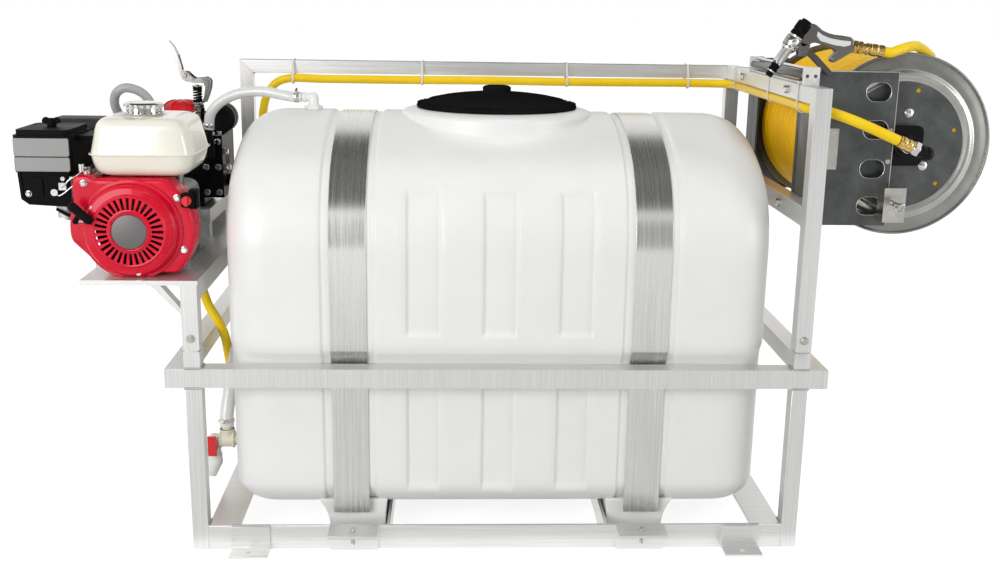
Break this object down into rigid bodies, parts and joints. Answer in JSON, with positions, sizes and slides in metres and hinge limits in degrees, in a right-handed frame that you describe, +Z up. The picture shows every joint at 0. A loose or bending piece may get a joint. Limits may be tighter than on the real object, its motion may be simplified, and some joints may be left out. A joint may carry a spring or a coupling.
{
  "type": "skid sprayer",
  "caption": "Skid-mounted orchard sprayer: moulded tank in an aluminium frame, petrol engine with diaphragm pump, hose reel and spray gun.",
  "frame": {"origin": "on the floor, in the middle of the four hold-down holes", "axes": "+X along the frame towards the reel, the side with the starter and swivel faces -Y, +Z up"},
  "size_m": [1.9306, 0.8636, 1.0553],
  "materials": {
    "aluminium": "mill finish",
    "zinc_steel": "zinc plated",
    "tank_plastic": "moulded satin",
    "black_plastic": "moulded",
    "white_plastic": "moulded",
    "cream_plastic": "moulded",
    "red_plastic": "moulded",
    "clear_hose": "reinforced",
    "grey_hose": "smooth",
    "yellow_hose": "smooth",
    "cast_aluminium": "as cast",
    "steel": "machined",
    "red_paint": "gloss",
    "cream_paint": "gloss",
    "chrome": "polished",
    "black_paint": "satin",
    "grey_paint": "powder coat",
    "white_paint": "powder coat"
  },
  "bodies": {
    "frame": {"base_frame": "aluminium", "tank_cradles": "aluminium", "hold_down_feet": "aluminium", "strap_clips": "aluminium", "lower_posts": "aluminium", "belt_ring": "aluminium", "upper_posts": "aluminium", "side_rails": "aluminium", "frame_bolts": "zinc_steel", "engine_deck": "aluminium", "tank_shell": "tank_plastic", "tank_neck": "tank_plastic", "tank_feet": "tank_plastic", "tank_straps": "aluminium", "strap_bolts": "zinc_steel", "return_elbow": "white_plastic", "return_hose": "clear_hose", "outlet_tee": "cream_plastic", "drain_valve": "white_plastic", "suction_hose": "clear_hose", "crankcase": "cast_aluminium", "cylinder_head": "cast_aluminium", "fan_cover": "red_paint", "starter_cover": "red_paint", "fuel_tank": "cream_paint", "air_cleaner_base": "black_plastic", "air_cleaner_cover": "black_plastic", "carburettor": "cast_aluminium", "muffler": "black_paint", "pump_body": "black_paint", "pump_heads": "red_paint", "dampener": "black_plastic", "regulator": "chrome", "bypass_hose": "grey_hose", "reel_frame": "grey_paint", "reel_bearings": "black_paint", "swivel": "black_paint", "hose_guide": "white_paint", "discharge_hose": "yellow_hose", "hose_ties": "white_plastic", "spray_gun": "chrome", "gun_hose": "yellow_hose"},
    "lid": {"tank_lid": "black_plastic"},
    "valve_handle": {"valve_handle": "red_plastic"},
    "starter_grip": {"starter_grip": "black_plastic"},
    "fuel_cap": {"fuel_cap": "chrome"},
    "wing_nut": {"wing_nut": "black_plastic"},
    "throttle": {"throttle_lever": "zinc_steel"},
    "stop_switch": {"engine_switch": "red_plastic"},
    "crank": {"crankshaft": "steel", "pump_shaft": "steel"},
    "regulator_lever": {"regulator_lever": "chrome"},
    "reel": {"reel_drum": "grey_paint", "hose_pack": "yellow_hose", "reel_crank": "grey_paint"},
    "crank_grip": {"crank_grip": "black_plastic"},
    "lock_pin": {"reel_lock_pin": "zinc_steel"},
    "roller_left": {"guide_roller_left": "black_plastic"},
    "roller_right": {"guide_roller_right": "black_plastic"},
    "trigger": {"gun_trigger": "grey_paint"}
  },
  "joints": [
    {"name": "lid_lift", "type": "slide", "parent": "frame", "child": "lid", "axis": [0, 0, 1], "range_m": [0, 0.12]},
    {"name": "valve_turn", "type": "hinge", "parent": "frame", "child": "valve_handle", "pos_m": [-0.607, -0.17, 0.13], "axis": [0, 1, 0], "range_deg": [0, 90]},
    {"name": "starter_pull", "type": "slide", "parent": "frame", "child": "starter_grip", "axis": [-1, 0, 0], "range_m": [0, 0.12], "stiffness_N_per_m": 12},
    {"name": "fuel_cap_turn", "type": "hinge", "parent": "frame", "child": "fuel_cap", "pos_m": [-0.6886, -0.259, 0.856], "axis": [0, 0, 1], "range_deg": [0, 90]},
    {"name": "wing_nut_turn", "type": "hinge", "parent": "frame", "child": "wing_nut", "pos_m": [-0.8676, -0.251, 0.83], "axis": [0, 0, 1], "continuous": true},
    {"name": "throttle_turn", "type": "hinge", "parent": "frame", "child": "throttle", "pos_m": [-0.7846, -0.323, 0.75], "axis": [0, 0, 1], "range_deg": [-30, 10]},
    {"name": "stop_switch_turn", "type": "hinge", "parent": "frame", "child": "stop_switch", "pos_m": [-0.5936, -0.361, 0.703], "axis": [0, 1, 0], "range_deg": [0, 60]},
    {"name": "crank_spin", "type": "hinge", "parent": "frame", "child": "crank", "pos_m": [-0.7006, 0, 0.645], "axis": [0, 1, 0], "continuous": true},
    {"name": "regulator_lever_turn", "type": "hinge", "parent": "frame", "child": "regulator_lever", "pos_m": [-0.681, 0.09, 0.905], "axis": [0, 1, 0], "range_deg": [-60, 0]},
    {"name": "reel_spin", "type": "hinge", "parent": "frame", "child": "reel", "pos_m": [0.806, 0, 0.806], "axis": [0, 1, 0], "continuous": true},
    {"name": "crank_grip_spin", "type": "hinge", "parent": "reel", "child": "crank_grip", "pos_m": [0.806, 0.33, 0.646], "axis": [0, 1, 0], "continuous": true},
    {"name": "lock_pin_pull", "type": "slide", "parent": "frame", "child": "lock_pin", "axis": [0, -1, 0], "range_m": [0, 0.012]},
    {"name": "roller_left_spin", "type": "hinge", "parent": "frame", "child": "roller_left", "pos_m": [0.586, 0, 0.944], "axis": [0, 1, 0], "continuous": true},
    {"name": "roller_right_spin", "type": "hinge", "parent": "frame", "child": "roller_right", "pos_m": [0.602, 0, 0.944], "axis": [0, 1, 0], "continuous": true},
    {"name": "trigger_pull", "type": "hinge", "parent": "frame", "child": "trigger", "pos_m": [0.58, -0.261, 0.988], "axis": [0, 1, 0], "range_deg": [-6, 0], "stiffness_Nm_per_rad": 3, "springref_deg": 2.86}
  ]
}
